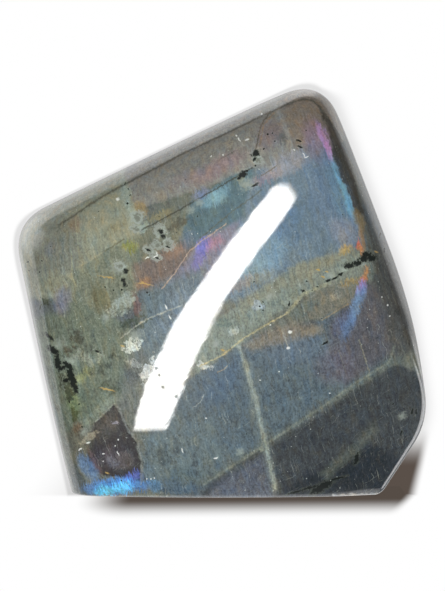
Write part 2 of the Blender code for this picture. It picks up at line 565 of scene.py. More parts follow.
def face_point(pixel):
    """The display face at a photograph pixel: its point, the line of sight, and the dome's centre."""
    position, forward, right, up = camera_axes()
    sight = forward * CAMERA_DISTANCE
    sight += right * (pixel[0] - IMAGE_WIDTH / 2.0) * PIXEL_SIZE
    sight += up * (IMAGE_HEIGHT / 2.0 - pixel[1]) * PIXEL_SIZE
    sight.normalize()
    centre = Vector((CROWN_X, cad_box[0][1] + FACE_RADIUS, CROWN_Z))
    towards = position - centre
    half = towards.dot(sight)
    reach = -half - math.sqrt(half * half - towards.length_squared + FACE_RADIUS**2)
    return position + sight * reach, sight, centre


def mirrored_direction(pixel):
    """The face's point at a photograph pixel, and the direction that it mirrors to the camera."""
    point, sight, centre = face_point(pixel)
    normal = (point - centre).normalized()
    return point, sight - normal * 2.0 * sight.dot(normal)


def strip_edge(pixels, share):
    """A place on one edge of the reflection, from its top at 0 to its foot at 1."""
    curve = np.polyfit(np.linspace(0.0, 1.0, len(pixels)), np.array(pixels), len(pixels) - 1)
    return np.array([np.polyval(curve[:, axis], share) for axis in (0, 1)])


def strip_inset(share, across, half_width):
    """How far inside the reflection's edge a place is, in photograph pixels."""
    up = max(0.0, 1.0 - share / STRIP_ROUND)
    return half_width * (1.0 - math.hypot(up, across))


def glowing(name, strength):
    """A material that only glows, with its painter and its glow."""
    material = bpy.data.materials.new(name)
    material.use_nodes = True
    material.node_tree.nodes.clear()
    paint = Painter(material.node_tree)
    glow = paint.node("ShaderNodeEmission", {"Strength": strength})
    paint.node("ShaderNodeOutputMaterial", {"Surface": glow.outputs[0]})
    return material, paint, glow


def strip_material():
    material, paint, glow = glowing("strip glow", STRIP_POWER)
    share = paint.node("ShaderNodeAttribute", {}, attribute_name="glow").outputs["Fac"]
    inset = paint.node("ShaderNodeAttribute", {}, attribute_name="inset").outputs["Fac"]
    pixel = paint.node("ShaderNodeAttribute", {}, attribute_name="pixel").outputs["Vector"]
    along, across = leaning(-FRAY_TILT)
    length, width = FRAY_SIZES
    u = paint.number("DOT_PRODUCT", pixel, (along.x / length, along.y / length, 0.0))
    v = paint.number("DOT_PRODUCT", pixel, (across.x / width, across.y / width, 0.0))
    fray = paint.swing(paint.joined(u, v, 0.0), 1.0, FRAY_DETAIL)
    inset = paint.maths("MULTIPLY_ADD", fray, FRAY_REACH, inset)
    share = paint.maths("MULTIPLY", share, paint.fade(inset, 0.0, FRAY_SOFT))
    for x, y, radius in DULL_GRAINS:
        away = paint.number("DISTANCE", pixel, (x, y, 0.0))
        away = paint.maths("MULTIPLY_ADD", fray, DULL_FRAY, away)
        limits = (radius + DULL_FADES[0], radius + DULL_FADES[1])
        share = paint.maths("MULTIPLY", share, paint.fade(away, *limits))
    paint.tree.links.new(paint.maths("MULTIPLY", share, STRIP_POWER), glow.inputs["Strength"])
    glow.inputs["Color"].default_value = STRIP_COLOUR
    return material


def strip_grid():
    """The strip light's points, and each one's glow, inset and photograph pixel."""
    points = []
    glows = []
    insets = []
    pixels = []
    for share in np.linspace(0.0, STRIP_SPARE[1], STRIP_STEPS + 1):
        left = strip_edge(STRIP_LEFT, share)
        right = strip_edge(STRIP_RIGHT, share)
        half_width = np.linalg.norm(right - left) / 2.0
        for across in np.linspace(-STRIP_SPARE[0], STRIP_SPARE[0], STRIP_COLUMNS + 1):
            pixel = left + (right - left) * (across + 1.0) / 2.0
            point, direction = mirrored_direction(pixel)
            points.append(point + direction * STRIP_DISTANCE)
            faded = share - STRIP_DIMMER_RIGHT * max(across, 0.0)
            foot = float(ease(STRIP_FOOT, share))
            glows.append(foot * float(ease(STRIP_FADES, faded)) ** 2)
            insets.append(strip_inset(share, across, half_width))
            pixels.extend((pixel[0], pixel[1], 0.0))
    return points, glows, insets, pixels


def add_strip_light():
    """A long curved softbox, whose reflection is the bright stroke down the polished face."""
    points, glows, insets, pixels = strip_grid()
    width = STRIP_COLUMNS + 1
    corners = [row * width + column for row in range(STRIP_STEPS) for column in range(width - 1)]
    faces = [(first, first + 1, first + width + 1, first + width) for first in corners]
    mesh = bpy.data.meshes.new("strip light")
    mesh.from_pydata(points, [], faces)
    mesh.attributes.new("glow", "FLOAT", "POINT").data.foreach_set("value", glows)
    mesh.attributes.new("inset", "FLOAT", "POINT").data.foreach_set("value", insets)
    mesh.attributes.new("pixel", "FLOAT_VECTOR", "POINT").data.foreach_set("vector", pixels)
    mesh.materials.append(strip_material())
    strip = bpy.data.objects.new("strip_light", mesh)
    bpy.context.scene.collection.objects.link(strip)


def sight_depths(paint, sight):
    """How far inside each side of the outline a line of sight passes, and inside all of them."""
    position = camera_axes()[0]
    y = paint.split(sight)[1]
    flat = paint.vector("DIVIDE", sight, paint.joined(y, y, y))
    depths = {}
    depth = None
    blend = 0.0
    for index, (name, degrees, distance, radius) in enumerate(SIDES):
        angle = math.radians(degrees)
        along = math.cos(angle)
        up = math.sin(angle)
        start = distance - (position.x - HUB[0]) * along - (position.z - HUB[2]) * up
        slopes = (along * position.y, start, up * position.y)
        side = paint.number("DOT_PRODUCT", flat, slopes)
        depths[name] = side
        if depth is not None:
            side = paint.maths("SMOOTH_MIN", depth, side, NODE_BLEND * blend)
        depth = side
        if index + 1 < len(SIDES):
            blend = corner_blend(radius, math.radians(SIDES[index + 1][1]) - angle)
    height = paint.number("DOT_PRODUCT", flat, (0.0, position.z, -position.y))
    return depths, paint.maths("MINIMUM", depth, height)


def unshaded(paint, sight):
    """The light that the painted soft shadow leaves on the white seen past the stone along a sight
    line.
    """
    depths, depth = sight_depths(paint, sight)
    right = paint.maths("MINIMUM", *(depths[name] for name in HALO_SIDES))
    under = depths[HALO_TOP]
    wider = paint.fade(right, *HALO_WIDENS, HALO_REACHES[1] - HALO_REACHES[0])
    wider = paint.maths("MULTIPLY", wider, paint.fade(under, *HALO_TURNS))
    reach = paint.maths("ADD", wider, HALO_REACHES[0])
    near = paint.fade(paint.maths("DIVIDE", depth, reach), -1.0, 0.0)
    near = paint.maths("MULTIPLY", near, near)
    near = paint.maths("MULTIPLY", near, paint.fade(under, *HALO_ENDS))
    return paint.maths("MULTIPLY_ADD", near, -HALO_SHARE, 1.0)


def contact_shadow(paint, x, y):
    """How deep the shadow around the stone's base is, from 0 to 1."""
    turned = paint.joined(x, paint.maths("MULTIPLY_ADD", x, -SHADOW_TURN, y), 0.0)
    around = paint.vector("ABSOLUTE", paint.vector("SUBTRACT", turned, SHADOW_MIDDLE))
    beyond = paint.vector("MAXIMUM", paint.vector("SUBTRACT", around, SHADOW_HALF), (0.0, 0.0, 0.0))
    away = paint.number("LENGTH", paint.vector("DIVIDE", beyond, SHADOW_REACH))
    contact = paint.fade(away, 1.0, 0.0)
    front = paint.maths("MINIMUM", y, 0.0)
    right = paint.maths("MULTIPLY_ADD", front, -SHADOW_RIGHT_SLANT, x)
    return paint.maths("MULTIPLY", contact, paint.fade(right, *SHADOW_RIGHT_END))


def cast_shadow(paint, x, y):
    """How deep the shadow behind the stone's right side is, from 0 to 1."""
    inside = paint.maths("SUBTRACT", paint.maths("MULTIPLY_ADD", y, CAST_SLANT, CAST_EDGE_X), x)
    behind = paint.fade(inside, -CAST_FADES, CAST_FADES)
    for value, limits in ((x, CAST_LEFT), (y, CAST_ENDS), (y, CAST_STARTS)):
        behind = paint.maths("MULTIPLY", behind, paint.fade(value, *limits))
    return behind


def floor_material():
    material, paint, glow = glowing("light table", 1.0)
    here = paint.node("ShaderNodeTexCoord", {}).outputs["Object"]
    x, y, _ = paint.split(here)
    # The painted contact shadow and the painted cast shadow darken the table's glow.
    tone = paint.mix(contact_shadow(paint, x, y), PURE_WHITE, linear(SHADOW_TONE))
    cast_tone = paint.mix(cast_shadow(paint, x, y), PURE_WHITE, linear(CAST_TONE))
    tone = paint.mix(1.0, tone, cast_tone, "DARKEN")
    paint.tree.links.new(tone, glow.inputs["Color"])
    # The painted soft shadow around the stone's outline also dims the table's glow.
    light = unshaded(paint, paint.vector("SUBTRACT", here, tuple(camera_axes()[0])))
    paint.tree.links.new(light, glow.inputs["Strength"])
    return material


def add_floor():
    bpy.ops.mesh.primitive_plane_add(size=FLOOR_SIZE, location=(0.0, 0.0, 0.0))
    floor = bpy.context.object
    floor.name = "floor"
    floor.visible_glossy = False
    floor.visible_diffuse = False
    floor.visible_shadow = False
    floor.data.materials.append(floor_material())


def with_lamps(paint, level, direction, lamps):
    """This level of light, raised or lowered on the sides that the lamps name."""
    for side, starts, change in lamps:
        lamp = paint.fade(paint.number("DOT_PRODUCT", direction, side), *starts, change)
        level = paint.maths("ADD", lamp, level)
    return level


def plain_light(paint, direction):
    facing = paint.number("DOT_PRODUCT", direction, LIGHT_SIDE)
    rise = paint.fade(facing, *LIGHT_STARTS, BACK_LIGHT - FRONT_LIGHT)
    return paint.maths("ADD", rise, FRONT_LIGHT)


def mirrored_light(paint, direction):
    white = with_lamps(paint, WHITE_GLOSS - DIM_GLOSS, direction, GLOSS_LAMPS)
    started = paint.fade(paint.number("DOT_PRODUCT", direction, GLOSS_SIDE), *GLOSS_STARTS)
    corner, starts = GLOSS_CORNER
    sooner = paint.fade(paint.number("DOT_PRODUCT", direction, corner), *starts)
    started = paint.maths("MAXIMUM", started, sooner)
    gloss = paint.maths("MULTIPLY_ADD", started, white, DIM_GLOSS)
    return with_lamps(paint, gloss, direction, ARRIS_LAMPS)


def set_world():
    """White surroundings behind the stone, and a dim room on the camera's side of it."""
    world = bpy.data.worlds.new("studio")
    world.use_nodes = True
    world.node_tree.nodes.clear()
    paint = Painter(world.node_tree)
    direction = paint.node("ShaderNodeTexCoord", {}).outputs["Generated"]
    rays = paint.node("ShaderNodeLightPath", {}).outputs
    light = plain_light(paint, direction)
    gloss = mirrored_light(paint, direction)
    strength = paint.between(rays["Is Glossy Ray"], light, gloss)
    # The white that the camera sees carries the painted soft shadow around the stone's outline.
    strength = paint.between(rays["Is Camera Ray"], strength, unshaded(paint, direction))
    background = paint.node("ShaderNodeBackground", {"Color": PURE_WHITE, "Strength": strength})
    paint.node("ShaderNodeOutputWorld", {"Surface": background.outputs[0]})
    bpy.context.scene.world = world
    bpy.context.scene.view_settings.view_transform = "Standard"


# ---------------------------------------------------------------------------------------------
# The minerals. Colours are what the eye sees, as sRGB from 0 to 255. Places on the display face
# are photograph pixels, and the half sizes beside them are in the same pixels. Tilts are degrees
# from the horizontal, rising to the right. Softness is how far an edge fades, in mm for a domain
# and as a share of the half size for the rest. A strength of 1 hides what lies under it.

# A photograph pixel's size in mm on the display face, which is nearer than the camera's target.
PIXEL_MM = 0.19

# The domains of the feldspar, bounded by its cleavage: name, softness, colour, strength, corners.
FRONT_DOMAINS = (
    ("olive corner", 0.9, (142, 146, 128), 0.95, ((5, 235), (60, 185), (122, 162), (146, 232),
        (118, 268), (60, 300), (5, 300))),
    ("grey corner", 1.8, (114, 118, 110), 0.75, ((30, 240), (50, 218), (78, 222), (80, 268), (50, 280),
        (30, 275))),
    ("mottled olive", 0.8, (117, 123, 107), 0.9, ((78, 268), (124, 240), (146, 232), (138, 290),
        (130, 306), (100, 330), (60, 300))),
    ("taupe top", 0.45, (134, 134, 128), 0.95, ((122, 170), (300, 70), (350, 100), (345, 150),
        (300, 162), (142, 232))),
    ("warm apex", 1.2, (128, 117, 105), 0.8, ((286, 84), (335, 84), (345, 130), (320, 155), (292, 150),
        (280, 105))),
    ("umber wedge", 0.8, (114, 116, 100), 0.9, ((142, 232), (186, 208), (190, 240), (170, 256),
        (140, 262))),
    ("blue field", 1.2, (103, 123, 137), 0.95, ((225, 181), (255, 168), (300, 158), (338, 156),
        (368, 242), (250, 300), (190, 300))),
    ("teal wedge", 0.5, (82, 107, 115), 0.95, ((188, 203), (225, 181), (256, 166), (246, 215),
        (200, 243), (184, 238))),
    ("orange brown", 0.7, (115, 103, 95), 0.9, ((134, 262), (184, 242), (196, 250), (164, 290),
        (136, 290))),
    ("violet wedge", 0.6, (124, 122, 136), 0.9, ((200, 241), (240, 220), (226, 262), (185, 303),
        (160, 296))),
    ("grey blue", 1.5, (96, 113, 120), 0.9, ((140, 292), (205, 268), (200, 335), (155, 372),
        (140, 330))),
    ("sage band", 0.6, (122, 133, 124), 0.95, ((228, 312), (300, 262), (320, 262), (310, 290),
        (246, 338), (196, 372), (190, 340))),
    ("sage band east", 0.6, (124, 132, 122), 0.95, ((290, 268), (350, 246), (378, 262), (372, 282),
        (303, 295))),
    ("sage edge", 1.0, (132, 132, 112), 0.6, ((240, 300), (300, 264), (345, 248), (345, 256),
        (245, 310))),
    ("taupe tongue", 0.9, (112, 112, 102), 0.85, ((306, 298), (330, 282), (362, 284), (352, 304),
        (324, 318), (306, 316))),
    ("slate", 0.5, (85, 100, 108), 0.95, ((150, 430), (190, 378), (245, 340), (345, 308), (402, 338),
        (395, 362), (300, 424), (210, 482), (140, 485))),
    ("brown band", 0.7, (124, 119, 107), 0.9, ((241, 345), (262, 334), (290, 322), (322, 321),
        (322, 331), (250, 351))),
    ("grey teal", 2.2, (99, 113, 115), 0.7, ((146, 436), (172, 405), (214, 420), (228, 452), (205, 480),
        (142, 482))),
    ("violet slate", 1.2, (88, 88, 94), 0.9, ((330, 318), (372, 282), (404, 300), (404, 342),
        (345, 386), (326, 345))),
    ("dark flank", 1.4, (78, 80, 78), 0.9, ((368, 225), (420, 300), (425, 345), (392, 358),
        (380, 300))),
    ("lower dark", 0.5, (60, 65, 69), 0.95, ((208, 484), (263, 449), (394, 364), (434, 380), (430, 430),
        (372, 500), (200, 500))),
    ("violet foot", 1.0, (92, 99, 111), 0.8, ((212, 486), (268, 455), (282, 500), (205, 500))),
    ("black foot", 1.8, (36, 42, 48), 0.9, ((270, 500), (304, 474), (372, 444), (402, 462),
        (380, 500))),
    ("green flank", 1.0, (104, 114, 100), 0.9, ((30, 322), (75, 300), (134, 330), (120, 394), (92, 424),
        (60, 440))),
    ("smoke", 0.25, (53, 52, 55), 0.95, ((114, 403), (137, 441), (143, 484), (90, 474), (86, 452),
        (95, 422))),
    ("brown heel", 0.8, (98, 97, 84), 0.8, ((64, 432), (84, 424), (94, 436), (88, 458), (72, 462))),
    # A painted dark reflection inside the bright rim of the right shoulder, over the stone's darker
    # body there.
    ("right dark rim", 0.35, (66, 64, 58), 0.9, ((318, 104), (334, 124), (352, 168), (366, 214),
        (356, 216), (342, 174), (328, 136))),
)

# Soft patches of colour, the brightest of which are the feldspar's flashes: name, middle, half
# length, half width, tilt, softness, colour, strength.
FLASHES = (
    ("beige mottles", (94, 221), 15, 9, 20, 0.95, (148, 146, 126), 0.5),
    # Painted reflections that widen the bright rim at the upper left corner.
    ("corner band", (60, 217), 30, 4.5, 34, 0.6, (140, 145, 136), 0.5),
    ("corner band foot", (37, 240), 14, 4.5, 68, 0.7, (138, 143, 134), 0.5),
    ("olive shade", (110, 230), 9, 5, 40, 0.9, (122, 124, 106), 0.6),
    ("green shade", (85, 405), 12, 7, -70, 0.9, (86, 97, 78), 0.5),
    ("brown mottle", (75, 224), 8, 5, 70, 0.9, (136, 116, 94), 0.6),
    ("beige heel", (54, 284), 14, 9, 20, 0.9, (136, 136, 114), 0.6),
    ("shaded olive", (99, 300), 12, 7, -60, 0.9, (102, 98, 68), 0.75),
    ("rose streaks", (218, 168), 30, 8, 26, 0.9, (150, 124, 128), 0.55),
    ("violet taupe", (190, 176), 24, 6, 26, 0.9, (134, 124, 126), 0.5),
    ("rose glow", (270, 134), 15, 12, 60, 0.9, (120, 106, 112), 0.6),
    ("rose by the tip", (268, 176), 17, 4.5, 30, 0.9, (148, 124, 130), 0.6),
    ("lilac by the tip", (289, 164), 24, 9, 24, 0.9, (150, 152, 160), 0.75),
    ("violet haze", (318, 142), 22, 11, -67, 0.95, (146, 126, 148), 0.6),
    ("violet streak", (325.5, 141), 19, 3.2, -67, 0.95, (188, 152, 212), 0.75),
    ("magenta end", (330, 151), 9, 2.8, -67, 0.95, (220, 152, 212), 0.8),
    ("blue haze", (328, 192), 46, 20, -71, 0.9, (105, 126, 148), 0.6),
    ("azure haze", (340, 196), 42, 8, -71, 0.95, (108, 142, 166), 0.6),
    ("azure streak", (345.5, 193), 37, 3.0, -71, 0.95, (128, 184, 214), 0.78),
    ("lilac field", (344, 232), 14, 13, -60, 0.95, (138, 146, 160), 0.75),
    ("blue field glow", (284, 232), 34, 17, 50, 0.95, (82, 110, 134), 0.65),
    ("sky by the stroke", (267, 257), 24, 15, 55, 0.9, (142, 176, 194), 0.42),
    ("slate dim", (238, 402), 16, 9, 60, 0.9, (76, 92, 102), 0.6),
    ("foot shade", (186, 476), 16, 6, 5, 0.9, (78, 96, 102), 0.7),
    ("sky low", (250, 272), 22, 9, 50, 0.9, (122, 150, 160), 0.55),
    ("rust below the sky", (242, 284), 14, 5, 28, 0.9, (146, 126, 112), 0.5),
    ("straw below the sky", (262, 278), 14, 5, 24, 0.9, (140, 138, 112), 0.5),
    ("olive gold", (359, 222), 14, 5.0, -70, 0.8, (134, 114, 72), 0.75),
    ("orange lead", (362, 238), 9, 2.6, -70, 0.9, (174, 136, 84), 0.6),
    ("gold fringe", (345, 249), 7, 3.4, 20, 0.9, (196, 164, 92), 0.7),
    ("orange fringe", (360, 248), 5, 2.8, -55, 0.9, (208, 136, 72), 0.7),
    ("red fringe", (357.5, 245), 2.4, 2.0, 0, 0.95, (230, 112, 96), 0.65),
    ("orange fringe low", (366, 272), 7, 3.0, 60, 0.9, (202, 134, 70), 0.65),
    ("gold thread", (350, 281), 11, 2.2, 14, 0.9, (156, 130, 74), 0.7),
    ("red fringe low", (363, 278.5), 3.4, 2.6, 0, 0.9, (212, 120, 86), 0.6),
    ("magenta low", (362.5, 284), 4.0, 3.0, 0, 0.9, (176, 126, 190), 0.7),
    ("violet top", (361, 290), 6.0, 4.5, 60, 0.9, (132, 130, 196), 0.7),
    ("blue streak", (356, 306), 22, 5.4, 68, 0.85, (106, 140, 178), 0.75),
    ("blue streak foot", (348, 328), 12, 6.5, 68, 0.9, (92, 120, 160), 0.65),
    ("blue streak side", (341, 322), 14, 6.0, 50, 0.95, (92, 104, 130), 0.6),
    ("blue slate glow", (300, 350), 34, 14, 5, 0.95, (98, 114, 130), 0.6),
    ("blue slate west", (222, 382), 26, 15, 50, 0.95, (74, 98, 122), 0.65),
    ("violet slate glow", (336, 366), 20, 16, 30, 0.95, (102, 100, 112), 0.6),
    ("indigo flash", (205, 246), 9, 5.5, 40, 0.9, (116, 120, 206), 0.85),
    ("indigo flash low", (199, 260), 12, 5.0, 62, 0.95, (114, 108, 172), 0.7),
    ("pink flash", (216, 243), 9, 5.0, 35, 0.9, (170, 124, 138), 0.7),
    ("orange glow", (176, 250), 14, 5, 34, 0.9, (150, 120, 100), 0.6),
    ("orange glow low", (143, 282), 8, 5, 10, 0.9, (156, 122, 90), 0.7),
    ("dim by the vein", (284, 139), 6, 5, 80, 0.9, (92, 94, 94), 0.7),
    ("rust streak", (134, 302), 13, 3, -84, 0.9, (116, 96, 92), 0.6),
    ("teal flash", (216, 198), 15, 7.5, 30, 0.9, (132, 172, 186), 0.8),
    ("blue above the teal", (200, 194), 9, 5.0, 30, 0.9, (122, 134, 164), 0.7),
    ("blue by the rust", (190, 239), 9, 7.0, 45, 0.9, (96, 112, 130), 0.7),
    ("steel by the stroke", (172, 312), 24, 11, 55, 0.95, (112, 128, 139), 0.6),
    ("lilac patch", (62, 300), 12, 8, 80, 0.9, (120, 121, 136), 0.75),
    ("blue grey dots", (50, 250), 7, 5, 60, 0.9, (104, 110, 120), 0.5),
    ("chartreuse", (130, 245), 8.5, 5.0, 5, 0.9, (136, 140, 70), 0.8),
    ("gold by the vein", (140, 207), 8, 4.5, -40, 0.9, (150, 130, 84), 0.7),
    ("gold below the taupe", (160, 214), 14, 4.0, 26, 0.9, (140, 132, 94), 0.6),
    ("lime heel", (72, 401), 14, 6, -70, 0.9, (112, 126, 84), 0.65),
    ("lime heel top", (81, 377), 11, 5, 50, 0.9, (138, 146, 104), 0.7),
    ("rust heel", (77, 427), 6, 4, 30, 0.9, (112, 90, 70), 0.7),
    ("rose heel", (95, 464), 12, 3.4, -70, 0.9, (112, 92, 96), 0.55),
    ("slate heel", (78, 484), 20, 6.5, -72, 0.9, (72, 82, 88), 0.75),
    ("brown smoke", (106, 424), 16, 10, 55, 0.95, (92, 88, 80), 0.6),
    ("violet smoke", (114, 458), 18, 12, 0, 0.95, (82, 76, 84), 0.65),
    ("tan smoke", (124, 460), 11, 8, 40, 0.95, (98, 93, 88), 0.45),
    ("grey smoke", (112, 462), 7, 5, 0, 0.9, (106, 106, 112), 0.75),
    ("blue heel", (87, 468), 15, 6.5, -60, 0.9, (96, 130, 172), 0.7),
    ("azure foot", (118, 488), 33, 8.5, 5, 0.6, (80, 140, 212), 0.92),
    ("cyan foot", (106, 492), 12, 4.4, 6, 0.9, (108, 204, 234), 0.8),
    ("cyan foot east", (124, 490), 9, 4.2, 0, 0.9, (110, 206, 246), 0.85),
    ("indigo foot", (134, 476), 9, 4.4, 25, 0.9, (92, 112, 196), 0.7),
    ("steel foot", (154, 487), 6, 5.5, 0, 0.9, (100, 152, 192), 0.7),
    ("steel foot east", (176, 487), 26, 5.5, 0, 0.9, (66, 92, 114), 0.75),
)

# Ragged blotches: name, middle, half length, half width, tilt, colour, strength.
BLOTCHES = (
    ("left blotch", (44.5, 302), 6, 4, 0, (70, 76, 60), 0.8),
    ("mid blotch", (77, 336), 9, 7, -10, (74, 74, 62), 0.8),
    ("low blotch", (67, 350), 8, 5, 30, (80, 78, 66), 0.75),
    ("green mottles", (131, 321), 15, 6, 28, (72, 84, 72), 0.85),
    ("green mottles west", (112, 357), 7, 3, 40, (68, 78, 68), 0.8),
    ("green eye", (107, 390), 13, 6, -5, (76, 84, 66), 0.75),
    ("chain shade", (66, 388), 17, 6, -66, (62, 66, 52), 0.85),
    ("heel shade", (74, 412), 10, 4, -80, (66, 74, 44), 0.8),
    ("flank shade", (90, 345), 14, 5, 32, (96, 106, 97), 0.5),
    ("flank shade low", (100, 372), 12, 4, 36, (76, 86, 76), 0.75),
    ("flank frost", (96, 362), 11, 4, 34, (140, 150, 138), 0.7),
    ("flank frost low", (92, 404), 13, 4, 44, (102, 112, 98), 0.6),
    ("cloud shade", (142, 322), 9, 4, 40, (66, 78, 66), 0.75),
    ("rust vein", (135, 303), 12, 4, -82, (104, 84, 82), 0.7),
    ("umber shade", (178, 224), 12, 5, 30, (84, 84, 70), 0.7),
    ("smoke flake", (113.5, 422.5), 5, 2.2, 8, (146, 146, 158), 0.8),
    ("white cloud", (133, 344), 12, 7, 35, (206, 214, 204), 0.95),
    ("cloud low", (134, 364), 8, 6, -40, (168, 176, 172), 0.7),
    ("big cloud", (121, 303), 17, 8, 46, (156, 166, 156), 0.8),
    ("vein head", (124, 192), 12, 6, -80, (152, 166, 156), 0.75),
    ("vein foot", (143, 226), 7, 6, 0, (150, 166, 154), 0.75),
    ("pale chain side", (84, 358), 12, 6, -40, (140, 148, 134), 0.7),
    ("pale heel", (88, 438), 12, 3.4, 32, (152, 148, 130), 0.7),
    ("frost by the stroke", (147, 370), 15, 6, 64, (206, 214, 212), 0.85),
    ("frost by the tip", (204, 366), 8, 4, -10, (196, 204, 202), 0.8),
    ("sage cloud", (233, 330), 7, 4, 30, (176, 188, 182), 0.7),
    ("blue cloud", (259, 304), 7, 6, 0, (158, 172, 178), 0.8),
    ("teal mottles", (226, 322), 8, 5, 20, (88, 108, 104), 0.7),
    ("teal shade by the tongue", (302, 308), 16, 7, 24, (98, 110, 106), 0.8),
    ("tongue cloud", (333, 296), 10, 4, 30, (146, 144, 128), 0.6),
    ("cream patch", (246, 183), 10, 5, -30, (136, 139, 118), 0.6),
    ("teal shade", (206, 222), 14, 6, 35, (84, 106, 108), 0.7),
    ("crossing", (265, 449), 7, 5, -60, (166, 170, 148), 0.8),
    ("slate shade", (320, 410), 20, 6, 34, (84, 92, 98), 0.5),
    ("grey teal shade", (164, 458), 14, 6, 88, (74, 86, 88), 0.7),
    ("grey teal shade 2", (177, 448), 16, 3.4, 84, (76, 88, 92), 0.65),
    ("grey teal shade 3", (195, 466), 12, 3.0, -86, (80, 92, 96), 0.65),
)

# Veins and healed cracks: name, half width in mm, softness, colour, strength, and the points that
# they run through.
VEINS = (
    ("dark cleavage", 0.13, 0.9, (62, 64, 54), 0.8, ((140, 231), (181, 209), (252, 168))),
    ("left cleavage", 0.12, 0.9, (156, 154, 132), 0.6, ((77, 268), (105, 251))),
    ("left cleavage dark", 0.14, 0.9, (92, 90, 66), 0.7, ((105, 251), (124, 239))),
    ("bright hairline", 0.1, 0.9, (184, 160, 138), 0.7, ((162, 289), (173, 275), (189, 252), (199, 243),
        (226, 224))),
    ("teal hairline", 0.14, 0.9, (84, 90, 78), 0.7, ((200, 238), (232, 212), (262, 190))),
    ("left pale vein", 0.6, 0.9, (146, 158, 146), 0.6, ((120, 172), (126, 200), (136, 222))),
    ("apex pale vein", 0.34, 0.9, (146, 148, 144), 0.65, ((276, 103), (283, 121), (288, 135),
        (292, 148))),
    ("apex hairline", 0.13, 0.9, (84, 72, 56), 0.7, ((271, 110), (261, 125), (256, 150))),
    ("apex warm line", 0.14, 0.9, (150, 122, 90), 0.5, ((274, 112), (264, 124), (260, 144))),
    ("taupe needles", 0.1, 0.9, (92, 84, 56), 0.7, ((262, 176), (276, 166))),
    ("sage edge crack", 0.14, 0.9, (176, 170, 134), 0.85, ((200, 366), (223, 355), (244, 338),
        (266, 325), (288, 312.5))),
    ("sage edge end", 0.3, 0.9, (156, 156, 128), 0.6, ((288, 312.5), (303, 294), (330, 283))),
    ("tongue line", 0.12, 0.9, (140, 128, 100), 0.7, ((322, 320), (335, 312), (348, 304))),
    ("steep crack haze", 0.5, 2.6, (116, 127, 125), 0.5, ((247, 368), (256, 408), (275, 488))),
    ("steep crack", 0.3, 1.5, (152, 161, 150), 0.7, ((239, 346), (247, 370), (256, 402), (275, 488))),
    ("rising crack haze", 0.4, 2.6, (98, 106, 100), 0.5, ((200, 484), (263, 446), (394, 361))),
    ("rising crack", 0.18, 1.6, (128, 134, 122), 0.55, ((204, 484), (263, 446), (322, 407), (353, 385),
        (389, 362), (394, 347))),
    ("low pale band", 0.75, 1.3, (98, 104, 94), 0.55, ((327, 473), (349, 454), (373, 430))),
    ("foot pale band", 0.6, 1.4, (96, 106, 104), 0.3, ((150, 488), (200, 482), (240, 466))),
    # A painted highlight on the toe's arris, just above the base line.
    ("toe wedge", 0.3, 0.9, (176, 176, 172), 0.8, ((334, 496), (377, 494.5))),
    ("flank hairline", 0.12, 0.9, (134, 132, 112), 0.65, ((359, 340), (369, 372))),
    ("flank hairline low", 0.1, 0.9, (122, 122, 112), 0.5, ((339, 350), (345, 372))),
    ("slate hairline", 0.14, 1.0, (110, 116, 114), 0.5, ((307, 358), (314, 408))),
    ("spot hairline", 0.1, 0.9, (150, 152, 144), 0.7, ((282, 330), (288, 347))),
    ("corner hairline", 0.1, 0.9, (156, 154, 128), 0.6, ((75, 218), (80, 262))),
    ("corner hairline low", 0.1, 0.9, (160, 160, 130), 0.7, ((71, 250), (72, 276), (76, 286))),
    ("cloud line", 0.13, 0.9, (168, 172, 160), 0.65, ((121, 338), (135, 327), (147, 319), (180, 306))),
    ("smoke edge", 0.2, 1.0, (128, 134, 130), 0.7, ((118, 407), (128, 430), (138, 442), (142, 462),
        (141, 484))),
    ("smoke edge west", 0.12, 1.0, (146, 152, 140), 0.6, ((114, 403), (95, 422))),
    ("green band", 0.6, 1.0, (128, 138, 124), 0.6, ((86, 422), (112, 400))),
    ("left scratch", 0.09, 0.9, (150, 160, 160), 0.7, ((193, 408), (200, 403), (204, 395))),
    ("tan scratch", 0.1, 0.9, (160, 150, 128), 0.7, ((218, 372), (224, 369), (227, 366))),
    # A painted dark reflection: the line where the bright rim's reflection ends, along the top and the
    # upper left.
    ("top inner line", 0.17, 1.4, (74, 72, 62), 0.75, ((58, 225), (71, 217), (84, 208), (100, 197.5),
        (118, 187), (149, 171), (183, 152.5), (224, 133.5), (250, 120.5), (266, 112.5), (278, 107.5),
        (289, 102.5), (304, 98), (313, 99), (321, 106), (328, 117))),
)

